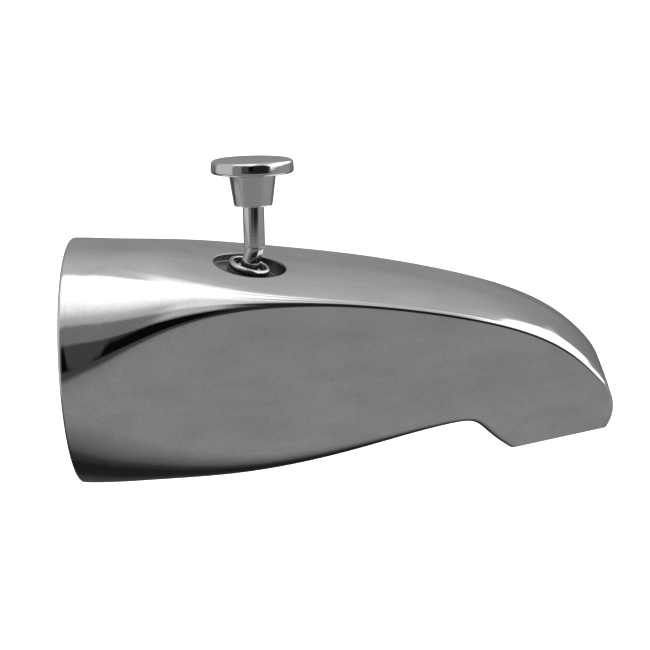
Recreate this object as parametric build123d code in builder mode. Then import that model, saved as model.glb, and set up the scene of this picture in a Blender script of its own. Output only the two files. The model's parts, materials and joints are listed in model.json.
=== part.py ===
from build123d import *
from math import acos, cos, exp, hypot, radians, sin, sqrt, tan
import os

os.makedirs("parts", exist_ok=True)

# Bath spout with a lift diverter. All sizes are in millimetres and degrees.
# X runs from the wall to the nose, Z is up, and the inlet axis is the X axis.

# Outer form: the ridge and underside are B-spline rails. Control points near the wall are given by distance
# from the wall, and those of the nose and outlet by distance back from the reach. The second number is the
# drop below the rim's top or the rise over its foot.
rim_radius = 30.15
reach = 132.1
ridge_at_wall = [(0, 0), (6, 0.15), (20, 2.15), (43, 8.2), (68, 11.35), (92, 16.1)]
ridge_at_nose = [(19.6, 22.25), (6.45, 32.0), (0, 42.65), (3.55, 48.2)]
underside_at_wall = [(0, 0), (6, 1.2), (19, 3.85), (41, 5.35), (63, 9.2), (82, 14.1)]
underside_at_outlet = [(39.25, 16.1), (34.25, 16.35), (31.25, 11.6), (26.95, 8.55)]
rail_degree = 3
panel_half_width = 24.0
panel_toe_in = 0.079
panel_flare_length = 33.1
rim_sag_share = 0.91
crown_sag = 0.12
crown_length = 12.25
crown_power = 1.49
shoulder_radius = 0.9
shoulder_length = 31.8
shoulder_power = 1.89
crease_radius = 0.85
crease_length = 18.75
crease_power = 1.26
crease_break = 28.8
arc_share = 0.985
under_edge_radius = 0.7
under_edge_length = 26.2
section_count = 20
section_bias = 1.6
rim_land = 0.5

# Casting walls
wall = 3.0
rim_edge_round = 0.6
inner_edge_radius = 0.6

# Lift axis: leans towards the nose and meets the bent stem at the kink
lift_lean = 19.0
lift_travel = 13.0
kink_x = 45.2
kink_rise = 4.8

# Valve chamber behind the partition, and its seat
chamber_radius = 16.0
barrel_wall = 2.5
partition_wall = 3.0
seat_offset = 6.9
seat_ring_height = 0.6
seat_ring_width = 1.3
port_radius = 5.0
port_height = 6.5
guide_rib_width = 2.0
guide_rib_depth = 5.0
guide_clearance = 0.3

# Gate and its seal
gate_radius = 8.0
gate_plate = 2.5
gate_hub_radius = 4.2
gate_hub_length = 10.0
seal_radius = 7.2
seal_thickness = 2.0
seal_gap = 0.3
seal_sunk = 0.6
seat_clearance = 0.05

# Inlet bushing with its sealing ring
thread_radius = 9.13
thread_length = 15.0
waterway_radius = 8.0
bushing_length = 21.0
bushing_clearance = 0.05
bushing_ring_x = 15.0
bushing_ring_section = 1.0
bushing_ring_room = 0.3

# Gland in its recess on the crown
recess_radius = 9.0
gland_drop = 4.0
gland_radius = 5.2
gland_height = 3.4
gland_shank_radius = 4.4
gland_shank_length = 2.4
gland_mouth_radius = 4.05
gland_mouth_depth = 2.0
gland_lip_round = 0.4
gland_ring_section = 0.8
gland_ring_room = 0.2
gland_ring_depth = 2.9
running_clearance = 0.07

# Stem, sleeve and knob
stem_radius = 2.2
stem_foot_radius = 1.7
stem_pin_radius = 1.6
stem_pin_depth = 6.0
knob_lean = 8.5
knob_tip = 1.7
sleeve_radius = 2.6
sleeve_foot = 0.3
sleeve_clearance = 0.05
sleeve_socket = 1.0
stem_exposed = 10.4
neck_foot_radius = 4.65
neck_top_radius = 5.75
neck_height = 7.9
knob_radius = 10.1
knob_thickness = 3.2
knob_dome = 0.35
knob_edge_round = 0.9
neck_edge_round = 0.4
clip_radius = 2.6
clip_thickness = 0.6
clip_groove_depth = 0.35
clip_mouth = 2.2
clip_stand_off = 0.1
foot_below_clip = 1.0

# Rails worked out from their control points
ridge_rail = [(x, rim_radius - drop) for x, drop in ridge_at_wall]
ridge_rail += [(reach - back, rim_radius - drop) for back, drop in ridge_at_nose]
underside_rail = [(x, rise - rim_radius) for x, rise in underside_at_wall]
underside_rail += [(reach - back, rise - rim_radius) for back, rise in underside_at_outlet]


def rail_point(points, t):
    """Point of a clamped uniform B-spline rail at t from 0 to 1, by de Boor's rule."""
    spans = len(points) - rail_degree
    knots = [0] * rail_degree + list(range(spans + 1)) + [spans] * rail_degree
    u = min(max(t, 0), 1) * spans
    k = min(int(u), spans - 1)
    near = points[k : k + rail_degree + 1]
    for level in range(1, rail_degree + 1):
        for i in range(rail_degree, level - 1, -1):
            low = knots[k + i]
            share = (u - low) / (knots[k + i + 1 + rail_degree - level] - low)
            near[i] = tuple((1 - share) * a + share * b for a, b in zip(near[i - 1], near[i]))
    return near[rail_degree]


def crown_height(x):
    """Height of the ridge at a distance from the wall, found by halving the rail's range."""
    low, high = 0, 1
    while high - low > 1e-9:
        middle = (low + high) / 2
        low, high = (middle, high) if rail_point(ridge_rail, middle)[0] < x else (low, middle)
    return rail_point(ridge_rail, low)[1]


# Directions and places worked out from the sizes
kink_z = crown_height(kink_x) + kink_rise
lift_direction = Vector(sin(radians(lift_lean)), 0, cos(radians(lift_lean)))
lift_across = Vector(cos(radians(lift_lean)), 0, -sin(radians(lift_lean)))
kink = Vector(kink_x, 0, kink_z)
lift_origin = kink - lift_direction * (kink_z / cos(radians(lift_lean)))
kink_height = (kink - lift_origin).length
lift_profile = Plane(origin=lift_origin, x_dir=lift_across, z_dir=(0, -1, 0))
lift_axis = Axis(lift_origin, lift_direction)
seat_face = seat_offset + seat_ring_height
gate_rest = port_height - lift_travel


def lift_plane(height):
    """Plane square to the lift axis at a height along it."""
    return Plane(origin=lift_origin + lift_direction * height, x_dir=(0, 1, 0), z_dir=lift_direction)


def seat_plane(offset, height=0):
    """Plane along the lift axis at an offset towards the nose, facing the nose."""
    origin = lift_origin + lift_across * offset + lift_direction * height
    return Plane(origin=origin, x_dir=(0, 1, 0), z_dir=lift_across)


def half_width(x):
    """Half width of the side panels: a toed-in line with a flare that dies away from the wall."""
    flare = rim_radius - panel_half_width
    return panel_half_width - panel_toe_in * x + flare * exp(-max(x, 0) / panel_flare_length)


def fade(at_rim, at_nose, x, length, power=1):
    """A size that falls from its value on the wall rim to its value at the nose; the power shapes the fall."""
    return at_nose + (at_rim - at_nose) * exp(-((max(x, rim_land) / length) ** power))


def section_points(t, inset):
    """Right half of the section at t, as the ends and middles of its edges from the crown to the underside.

    The section stands on its underside point and rises to its ridge point. Its edges are the crown arc, the
    shoulder arc, the crease arc, the straight side panel and the under-edge arc. The shoulder arc gives way to
    the tighter crease arc where its normal is at the break angle to the panel's; inset moves them all inwards."""
    ridge, under = rail_point(ridge_rail, t), rail_point(underside_rail, t)
    height = hypot(ridge[0] - under[0], ridge[1] - under[1])
    lean = (ridge[0] - under[0]) / height
    sag = fade(rim_sag_share * rim_radius, crown_sag, ridge[0], crown_length, crown_power)
    corner = Vector(half_width(under[0] + lean * (height - sag)), height - sag)
    crown_radius = (corner.X**2 + sag**2) / (2 * sag)
    crown_centre = Vector(0, height - crown_radius)
    foot = Vector(half_width(under[0]), 0)
    down = (foot - corner).normalized()
    inward = Vector(down.Y, -down.X)
    start = corner + inward * inset
    shoulder = fade(rim_radius, shoulder_radius, ridge[0], shoulder_length, shoulder_power)
    shoulder = max(min(shoulder, arc_share * corner.X) - inset, inner_edge_radius)
    crease = fade(rim_radius, crease_radius, ridge[0], crease_length, crease_power)
    crease = min(max(crease - inset, inner_edge_radius), arc_share * shoulder)
    break_out = -inward * cos(radians(crease_break)) - down * sin(radians(crease_break))
    reach = start + inward * crease - break_out * (shoulder - crease) - crown_centre
    along = reach.dot(down)
    room = along**2 - reach.dot(reach) + (crown_radius - inset - shoulder) ** 2
    slide = -along - sqrt(max(room, 0))
    crease_centre = start + inward * crease + down * slide
    shoulder_centre = crease_centre - break_out * (shoulder - crease)
    crown_out = (shoulder_centre - crown_centre).normalized()
    crown_end = crown_centre + crown_out * (crown_radius - inset)
    shoulder_middle = shoulder_centre + (crown_out + break_out).normalized() * shoulder
    shoulder_end = shoulder_centre + break_out * shoulder
    crease_middle = crease_centre + (break_out - inward).normalized() * crease
    panel_start = start + down * slide
    edge = max(fade(rim_radius, under_edge_radius, under[0], under_edge_length) - inset, inner_edge_radius)
    low = start + down * ((start.Y - inset) / -down.Y)
    tangent = edge / tan(0.5 * acos(down.X))
    panel_end = low - down * tangent
    base_start = low - Vector(tangent, 0)
    edge_centre = base_start + Vector(0, edge)
    edge_middle = edge_centre + (Vector(0, -1) - inward).normalized() * edge
    crown_top = Vector(0, height - inset)
    points = (crown_top, crown_end, shoulder_middle, shoulder_end, crease_middle, panel_start, panel_end,
              edge_middle, base_start)
    return [(p.X, p.Y) for p in points]


def section_plane(t):
    """Plane of the section at t: its X is across the spout and its Y runs from underside to ridge."""
    ridge, under = rail_point(ridge_rail, t), rail_point(underside_rail, t)
    square = (ridge[1] - under[1], 0, under[0] - ridge[0])
    return Plane(origin=(under[0], 0, under[1]), x_dir=(0, 1, 0), z_dir=square)


def draw_section(t, inset):
    """The closed section at t drawn on its plane, for a loft."""
    right = section_points(t, inset)
    left = [(-x, y) for x, y in right]
    with BuildSketch(section_plane(t)) as section:
        with BuildLine():
            ThreePointArc(left[1], right[0], right[1])
            for side in (right, left):
                ThreePointArc(side[1], side[2], side[3])
                ThreePointArc(side[3], side[4], side[5])
                Line(side[5], side[6])
                ThreePointArc(side[6], side[7], side[8])
            Line(right[8], left[8])
        make_face()
    return section.sketch


stations = [(i / section_count) ** section_bias for i in range(section_count + 1)]

# Barrel of the valve chamber, cut off square to the seat
with BuildPart() as barrel:
    with BuildSketch(Plane.YZ):
        Circle(chamber_radius + barrel_wall)
    extrude(amount=kink_x + chamber_radius)
    split(bisect_by=seat_plane(seat_face + partition_wall / 2), keep=Keep.BOTTOM)

# Water space of the chamber, less the two ribs that guide the gate
with BuildPart() as chamber:
    with BuildSketch(Plane.YZ):
        Circle(chamber_radius)
    extrude(amount=kink_x + chamber_radius)
    split(bisect_by=seat_plane(seat_face), keep=Keep.BOTTOM)
    with BuildSketch(seat_plane(seat_face)):
        with GridLocations(2 * (gate_radius + guide_clearance) + guide_rib_width, 0, 2, 1):
            Rectangle(guide_rib_width, 4 * chamber_radius)
    extrude(amount=-guide_rib_depth, mode=Mode.SUBTRACT)

# Space inside the casting's walls, less the barrel, the partition and the gland boss
with BuildPart() as hollow:
    loft([draw_section(station, wall) for station in stations])
    add(barrel.part, mode=Mode.SUBTRACT)
    with BuildSketch(seat_plane(seat_face)):
        Circle(4 * rim_radius)
    extrude(amount=partition_wall, mode=Mode.SUBTRACT)
    with BuildSketch(lift_plane(0)):
        Circle(recess_radius + barrel_wall)
    extrude(amount=2 * rim_radius, mode=Mode.SUBTRACT)

# Heights along the lift axis: the collar stands in the recess, with its top a little below the kink
collar_top = kink_height - gland_drop
recess_floor = collar_top - gland_height

# Spout casting
with BuildPart() as spout_body:
    loft([draw_section(station, 0) for station in stations])
    add(hollow.part, mode=Mode.SUBTRACT)
    add(chamber.part, mode=Mode.SUBTRACT)
    with BuildSketch(seat_plane(seat_face, port_height)):
        Circle(port_radius + seat_ring_width)
    extrude(amount=-seat_ring_height)
    with BuildSketch(seat_plane(seat_offset, port_height)):
        Circle(port_radius)
    extrude(amount=seat_ring_height + partition_wall, mode=Mode.SUBTRACT)
    with BuildSketch(lift_plane(recess_floor)):
        Circle(recess_radius)
    extrude(amount=gland_height + recess_radius, mode=Mode.SUBTRACT)
    with BuildSketch(lift_plane(recess_floor)):
        Circle(gland_shank_radius + bushing_clearance)
    extrude(amount=-gland_shank_length, mode=Mode.SUBTRACT)
    with BuildSketch(lift_plane(0)):
        Circle(stem_radius + guide_clearance)
    extrude(amount=recess_floor, mode=Mode.SUBTRACT)
    rim_edges = spout_body.edges().filter_by_position(Axis.X, -rim_edge_round / 2, rim_edge_round / 2)
    fillet([edge for edge in rim_edges if (edge @ 0.5).length > rim_radius - wall / 2], rim_edge_round)
spout_body.part.label = "spout_body"
export_step(spout_body.part, "parts/spout_body.step")

# Inlet bushing: pipe thread at the wall, waterway behind it, groove for its sealing ring
bushing_radius = chamber_radius - bushing_clearance
groove_half = bushing_ring_section + bushing_ring_room
with BuildPart() as inlet_bushing:
    with BuildSketch(Plane.XZ):
        with BuildLine():
            Polyline((0, thread_radius), (thread_length, thread_radius), (thread_length, waterway_radius),
                     (bushing_length, waterway_radius), (bushing_length, bushing_radius),
                     (bushing_ring_x + groove_half, bushing_radius),
                     (bushing_ring_x + groove_half, bushing_radius - 2 * bushing_ring_section),
                     (bushing_ring_x - groove_half, bushing_radius - 2 * bushing_ring_section),
                     (bushing_ring_x - groove_half, bushing_radius), (0, bushing_radius), close=True)
        make_face()
    revolve(axis=Axis.X)
inlet_bushing.part.label = "inlet_bushing"
export_step(inlet_bushing.part, "parts/inlet_bushing.step")

# Sealing ring round the bushing
with BuildPart() as bushing_ring:
    with BuildSketch(Plane.XZ):
        with Locations((bushing_ring_x, bushing_radius - bushing_ring_section)):
            Circle(bushing_ring_section)
    revolve(axis=Axis.X)
bushing_ring.part.label = "bushing_ring"
export_step(bushing_ring.part, "parts/bushing_ring.step")

# Gland collar: rounded ring on the recess floor, wide mouth, inside groove for the stem's ring
gland_bore = stem_radius + running_clearance
groove_radius = gland_bore + 2 * gland_ring_section + running_clearance
shank_foot = recess_floor - gland_shank_length
groove_top = collar_top - gland_ring_depth
mouth_floor = collar_top - gland_mouth_depth
groove_foot = groove_top - 2 * gland_ring_section - gland_ring_room
with BuildPart() as gland_collar:
    with BuildSketch(lift_profile) as gland_profile:
        with BuildLine():
            Polyline((gland_bore, mouth_floor), (gland_mouth_radius, mouth_floor),
                     (gland_mouth_radius, collar_top), (gland_radius, collar_top),
                     (gland_radius, recess_floor),
                     (gland_shank_radius, recess_floor), (gland_shank_radius, shank_foot),
                     (gland_bore, shank_foot), (gland_bore, groove_foot), (groove_radius, groove_foot),
                     (groove_radius, groove_top), (gland_bore, groove_top), close=True)
        make_face()
        fillet(gland_profile.vertices().group_by(Axis.Y)[-1], gland_lip_round)
    revolve(axis=lift_axis)
gland_collar.part.label = "gland_collar"
export_step(gland_collar.part, "parts/gland_collar.step")

# Sealing ring round the stem, inside the gland collar
with BuildPart() as stem_ring:
    with BuildSketch(lift_profile):
        with Locations((gland_bore + gland_ring_section, (groove_top + groove_foot) / 2)):
            Circle(gland_ring_section)
    revolve(axis=lift_axis)
stem_ring.part.label = "stem_ring"
export_step(stem_ring.part, "parts/stem_ring.step")

# Gate: round plate that slides behind the port, with a hub for the stem's foot
plate_face = seat_offset - seal_gap - seal_thickness + seal_sunk
hub_top = gate_rest + gate_hub_length / 2
hub_foot = gate_rest - gate_hub_length / 2
gate_face = seat_plane(plate_face, gate_rest)
with BuildPart() as gate:
    with BuildSketch(gate_face):
        Circle(gate_radius)
    extrude(amount=-gate_plate)
    with BuildSketch(lift_plane(hub_foot)):
        Circle(gate_hub_radius)
    extrude(amount=gate_hub_length)
    split(bisect_by=gate_face, keep=Keep.BOTTOM)
    with BuildSketch(gate_face):
        Circle(seal_radius + seat_clearance)
    extrude(amount=-seal_sunk, mode=Mode.SUBTRACT)
    with BuildSketch(lift_plane(hub_foot)):
        Circle(stem_foot_radius + seat_clearance)
    extrude(amount=gate_hub_length, mode=Mode.SUBTRACT)
gate.part.label = "gate"
export_step(gate.part, "parts/gate.step")

# Rubber seal let into the gate's face
with BuildPart() as gate_seal:
    with BuildSketch(gate_face.offset(-seal_sunk)):
        Circle(seal_radius)
    extrude(amount=seal_thickness)
gate_seal.part.label = "gate_seal"
export_step(gate_seal.part, "parts/gate_seal.step")

# Lift stem: foot through the gate, round shank, bend at the kink, thin pin inside the sleeve
knob_direction = Vector(tan(radians(knob_tip)), tan(radians(knob_lean)), 1).normalized()
knob_axis = Axis(kink, knob_direction)
knob_plane = Plane(origin=kink, z_dir=knob_direction)
knob_profile = Plane(origin=kink, x_dir=knob_plane.x_dir, z_dir=knob_plane.x_dir.cross(knob_direction))
clip_top = hub_foot - clip_stand_off
clip_foot = clip_top - clip_thickness
foot_end = clip_foot - foot_below_clip
clip_seat_radius = stem_foot_radius - clip_groove_depth
with BuildPart() as lift_stem:
    with BuildSketch(lift_profile):
        with BuildLine():
            Polyline((0, foot_end), (stem_foot_radius, foot_end), (stem_foot_radius, clip_foot),
                     (clip_seat_radius, clip_foot), (clip_seat_radius, clip_top),
                     (stem_foot_radius, clip_top), (stem_foot_radius, hub_top), (stem_radius, hub_top),
                     (stem_radius, kink_height), (0, kink_height), close=True)
        make_face()
    revolve(axis=lift_axis)
    with Locations(kink):
        Sphere(stem_radius)
    with BuildSketch(knob_plane):
        Circle(stem_pin_radius)
    extrude(amount=stem_exposed + stem_pin_depth)
lift_stem.part.label = "lift_stem"
export_step(lift_stem.part, "parts/lift_stem.step")

# Spring clip under the gate, a flat ring open on one side
with BuildPart() as stem_clip:
    with BuildSketch(lift_plane(clip_foot)):
        Circle(clip_radius)
        Circle(clip_seat_radius + seat_clearance, mode=Mode.SUBTRACT)
        with Locations((0, clip_radius)):
            Rectangle(clip_mouth, 2 * clip_radius, mode=Mode.SUBTRACT)
    extrude(amount=clip_thickness)
stem_clip.part.label = "stem_clip"
export_step(stem_clip.part, "parts/stem_clip.step")

# Sleeve on the stem's pin: its wider foot goes over the round of the bend, and its step stands on it
sleeve_bore = stem_pin_radius + sleeve_clearance
sleeve_skirt = stem_radius + running_clearance
sleeve_step = sqrt(stem_radius**2 - sleeve_bore**2) + sleeve_clearance
sleeve_top = stem_exposed + sleeve_socket
with BuildPart() as stem_sleeve:
    with BuildSketch(knob_profile):
        with BuildLine():
            Polyline((sleeve_skirt, sleeve_foot), (sleeve_radius, sleeve_foot),
                     (sleeve_radius, sleeve_top), (sleeve_bore, sleeve_top),
                     (sleeve_bore, sleeve_step), (sleeve_skirt, sleeve_step), close=True)
        make_face()
    revolve(axis=knob_axis)
stem_sleeve.part.label = "stem_sleeve"
export_step(stem_sleeve.part, "parts/stem_sleeve.step")

# Knob: tapered neck under a round disc with a slightly domed top
disc_foot = stem_exposed + neck_height
disc_top = disc_foot + knob_thickness
pin_end = stem_exposed + stem_pin_depth
socket_radius = sleeve_radius + sleeve_clearance
with BuildPart() as lift_knob:
    with BuildSketch(knob_profile):
        with BuildLine():
            Polyline((0, pin_end), (sleeve_bore, pin_end), (sleeve_bore, sleeve_top),
                     (socket_radius, sleeve_top), (socket_radius, stem_exposed),
                     (neck_foot_radius - neck_edge_round, stem_exposed),
                     (neck_foot_radius, stem_exposed + neck_edge_round),
                     (neck_top_radius, disc_foot), (knob_radius - knob_edge_round, disc_foot))
            RadiusArc((knob_radius - knob_edge_round, disc_foot), (knob_radius, disc_foot + knob_edge_round),
                      -knob_edge_round)
            Line((knob_radius, disc_foot + knob_edge_round), (knob_radius, disc_top - knob_edge_round))
            RadiusArc((knob_radius, disc_top - knob_edge_round), (knob_radius - knob_edge_round, disc_top),
                      -knob_edge_round)
            Spline((knob_radius - knob_edge_round, disc_top), (0, disc_top + knob_dome),
                   tangents=((-1, 0), (-1, 0)))
            Line((0, disc_top + knob_dome), (0, pin_end))
        make_face()
    revolve(axis=knob_axis)
lift_knob.part.label = "lift_knob"
export_step(lift_knob.part, "parts/lift_knob.step")
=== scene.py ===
import json
import math

import bmesh
import bpy
import numpy as np
from bpy.props import FloatProperty, FloatVectorProperty, PointerProperty
from mathutils import Matrix, Vector


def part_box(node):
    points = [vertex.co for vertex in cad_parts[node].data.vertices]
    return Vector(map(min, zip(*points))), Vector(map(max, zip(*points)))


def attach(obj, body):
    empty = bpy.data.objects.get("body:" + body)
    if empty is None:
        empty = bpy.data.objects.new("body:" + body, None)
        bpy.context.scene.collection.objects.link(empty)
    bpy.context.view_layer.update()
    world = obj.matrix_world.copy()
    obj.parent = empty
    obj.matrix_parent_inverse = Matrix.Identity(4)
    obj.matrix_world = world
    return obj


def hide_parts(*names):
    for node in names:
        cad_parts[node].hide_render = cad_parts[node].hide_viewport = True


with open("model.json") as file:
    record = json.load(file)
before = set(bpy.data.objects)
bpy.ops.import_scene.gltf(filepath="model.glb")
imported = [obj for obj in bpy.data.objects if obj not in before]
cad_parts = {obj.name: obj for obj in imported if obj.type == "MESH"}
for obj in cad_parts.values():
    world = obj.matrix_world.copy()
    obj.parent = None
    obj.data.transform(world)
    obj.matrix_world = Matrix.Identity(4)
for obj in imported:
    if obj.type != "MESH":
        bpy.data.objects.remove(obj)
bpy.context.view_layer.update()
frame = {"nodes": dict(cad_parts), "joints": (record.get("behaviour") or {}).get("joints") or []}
LIFT = next(joint for joint in frame["joints"] if joint["name"] == "lift")

bl_info = {
    "name": "Bath Spout",
    "version": (1, 0, 0),
    "blender": (4, 5, 0),
    "location": "View3D > Sidebar > Bath Spout",
    "description": "Finishes a chrome bath spout and its lift diverter, with a studio to show it in",
    "category": "Object",
}

PHOTO_SIDE = 650
RAIL_POINTS = 10
SHARP_ANGLE = math.radians(34)
JOIN_DISTANCE = 1e-7
NEAR = 1e-6

# Roundings of small edges, in metres
FINE_EDGE, SMALL_EDGE, BROKEN_EDGE = 0.00005, 0.0001, 0.0002

# Points along each edge of half a section
RING_COUNTS = {"crown": 30, "shoulder": 20, "crease": 10, "panel": 12, "edge": 12, "base": 10}
# Rows of the plated skin: the rim's face and round, the outside, and the lip's round and face
RIM_FACE_ROWS, RIM_ROUND_ROWS, OUTSIDE_ROWS, LIP_ROUND_ROWS, LIP_FACE_ROWS = 3, 7, 190, 4, 3
# Share of the rails with the rim's edge, the power that crowds the rows towards it, and the nose's stretch
RIM_STRETCH, ROW_POWER, NOSE_START, NOSE_SPAN = 0.1, 1.25, 0.68, 0.24
# Window in the crown: half width in recess radii, ends in half widths, rings and the power that crowds them
WINDOW_HALF, WINDOW_BEHIND, WINDOW_AHEAD, WINDOW_RINGS, RING_POWER = 1.25, 1.15, 0.95, 12, 1.5
# Thickness of the skin, as a share of its stand-off
SKIN_SHARE = 0.7
# Points round each turned piece
SEGMENTS = {"knob": 160, "sleeve": 96, "stem": 72, "collar": 128, "bushing": 120}
THREAD_ROWS = 14

# Brightness of the tent by angle in degrees: -90 is straight down, 0 the camera's side, 90 up, 180 the back
TENT_STRENGTH = 2.4
TENT_LEVELS = [
    (-90, 0.02), (-76, 0.055), (-65, 0.14), (-52, 0.21), (-38, 0.275), (-25, 0.345), (-18, 0.325),
    (-4, 0.28), (2, 0.075), (31, 0.075), (33.5, 0.24), (49.5, 0.25), (52.5, 0.58), (57, 0.63), (61, 0.83),
    (66, 1.2), (73, 1.55), (80, 2.0), (103, 2.2), (107, 0.80), (110, 0.71), (119, 0.66), (131, 0.56),
    (140, 0.48), (150, 0.40), (168, 0.36), (180, 0.30), (205, 0.10), (250, 0.02)]
# The same behind the nose end of the spout, and how far it turns up from the middle to the nose's side
BACK_LEVELS = [
    (-90, 0.02), (96, 2.0), (107, 1.8), (115, 1.35), (123, 0.76), (140, 0.69), (153, 0.60), (157.5, 0.50),
    (160.5, 0.42), (163.5, 0.36), (173, 0.31), (180, 0.25), (205, 0.08)]
BACK_TILT = 16
# Border of those levels: its lean, then its place, softness and depth in tent radii
BACK_LEAN, BACK_START, BACK_SOFT, BACK_DEPTH = 0.17, 0.086, 0.04, 0.1
# Cards of the tent: level, then turn from the camera's side to the nose, rise and softness, in degrees
TENT_CARDS = [
    (0.75, (-115, -50), (-15, 60), 5), (0.40, (54, 130), (-50, 9), 15), (0.75, (30, 150), (53, 78), 4),
    (1.9, (57, 153), (6, 47), 2), (1.2, (-7, 14), (50, 67), 5), (0.7, (-5, 12), (39, 50), 3),
    (0.02, (10, 50), (-2, 51), 3), (0.004, (-5, 10), (8, 35), 2), (0.3, (-52, -25), (0, 33), 3)]
TENT_RINGS = 48

# Start and softness of the crown's pillow, and blend of the trued rim, in lengths of that rim
PILLOW_START, PILLOW_SOFT, RIM_BLEND = 3, 2, 0.3


# Kinds of settings


def length_prop(name, description, default):
    """A length in metres."""
    return FloatProperty(name=name, description=description, default=default, unit="LENGTH", precision=6)


def rail_prop(name, description, default):
    """A length for each control point of a rail."""
    return FloatVectorProperty(
        name=name, description=description, default=default, size=RAIL_POINTS, unit="LENGTH", precision=6)


def factor_prop(name, description, default):
    """A plain number."""
    return FloatProperty(name=name, description=description, default=default, subtype="FACTOR")


def angle_prop(name, description, degrees):
    """An angle, given in degrees."""
    return FloatProperty(name=name, description=description, default=math.radians(degrees), subtype="ANGLE")


def point_prop(name, description, default):
    """A place in space."""
    return FloatVectorProperty(
        name=name, description=description, default=default, size=3, subtype="TRANSLATION")


def colour_prop(name, description, default):
    """A colour of a finish."""
    return FloatVectorProperty(
        name=name, description=description, default=default, size=3, subtype="COLOR", min=0, max=1)


# Sizes and colours that a user would change


class SpoutSizes(bpy.types.PropertyGroup):
    """Sizes of the spout's outer form. The main ones are the same as in the part's own source."""

    rim_radius: length_prop("Rim radius", "Radius of the round wall end", 0.03015)
    ridge_x: rail_prop(
        "Ridge reach", "Distance from the wall of each control point of the ridge",
        (0, 0.006, 0.020, 0.043, 0.068, 0.092, 0.1125, 0.12565, 0.1321, 0.12855))
    ridge_z: rail_prop(
        "Ridge height", "Height of each control point of the ridge",
        (0.03015, 0.030, 0.028, 0.02195, 0.0188, 0.01405, 0.0079, -0.00185, -0.0125, -0.01805))
    under_x: rail_prop(
        "Underside reach", "Distance from the wall of each control point of the underside",
        (0, 0.006, 0.019, 0.041, 0.063, 0.082, 0.09285, 0.09785, 0.10085, 0.10515))
    under_z: rail_prop(
        "Underside height", "Height of each control point of the underside",
        (-0.03015, -0.02895, -0.0263, -0.0248, -0.02095, -0.01605, -0.01405, -0.0138, -0.01855, -0.0216))
    panel_half_width: length_prop(
        "Panel half width", "Half width between the side panels at the wall", 0.024)
    panel_toe_in: factor_prop("Panel toe-in", "Narrowing of the half width per unit of reach", 0.079)
    panel_flare_length: length_prop("Flare length", "How far the round end's flare dies away", 0.0331)
    rim_sag_share: factor_prop(
        "Rim sag", "Rise of the crown at the wall, as a share of the rim's radius", 0.91)
    crown_sag: length_prop("Crown sag", "Rise of the crown over its creases at the nose", 0.00012)
    crown_length: length_prop("Crown length", "How far the round crown flattens", 0.01225)
    crown_power: factor_prop("Crown power", "How suddenly the crown flattens", 1.49)
    shoulder_radius: length_prop("Shoulder radius", "Radius of the shoulder at the nose", 0.0009)
    shoulder_length: length_prop("Shoulder length", "How far the shoulder tightens", 0.0318)
    shoulder_power: factor_prop("Shoulder power", "How suddenly the shoulder tightens", 1.89)
    crease_radius: length_prop("Crease radius", "Radius of the crease at the nose", 0.00085)
    crease_length: length_prop("Crease length", "How far the crease tightens", 0.01875)
    crease_power: factor_prop("Crease power", "How suddenly the crease tightens", 1.26)
    crease_break: angle_prop("Crease break", "Angle to the panel's normal at which the shoulder ends", 28.8)
    arc_share: factor_prop("Arc share", "Largest radius of an arc, as a share of the next wider one", 0.985)
    under_radius: length_prop("Under-edge radius", "Radius of the lower edges at the nose", 0.0007)
    under_length: length_prop("Under-edge length", "How far the lower edges tighten", 0.0262)
    inner_edge: length_prop("Inner edge", "Least radius of an edge inside the casting", 0.0006)
    rim_land: length_prop("Rim land", "How far the rim stays round", 0.0005)
    wall: length_prop("Wall", "Thickness of the casting", 0.003)
    rim_round: length_prop("Rim round", "Rounding of the rim's outer edge", 0.0006)
    lip_round: length_prop("Lip round", "Rounding of the outlet's outer edge", 0.0002)
    plate: length_prop("Plating", "How far the plated surface stands off the casting", 0.00014)
    nose_plate: length_prop("Nose plating", "How much further the plating stands off at the nose", 0.0002)
    recess_radius: length_prop("Recess radius", "Radius of the gland's recess in the crown", 0.009)
    recess_lip: length_prop("Recess lip", "Rounding of the recess's edge", 0.0001)


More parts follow.
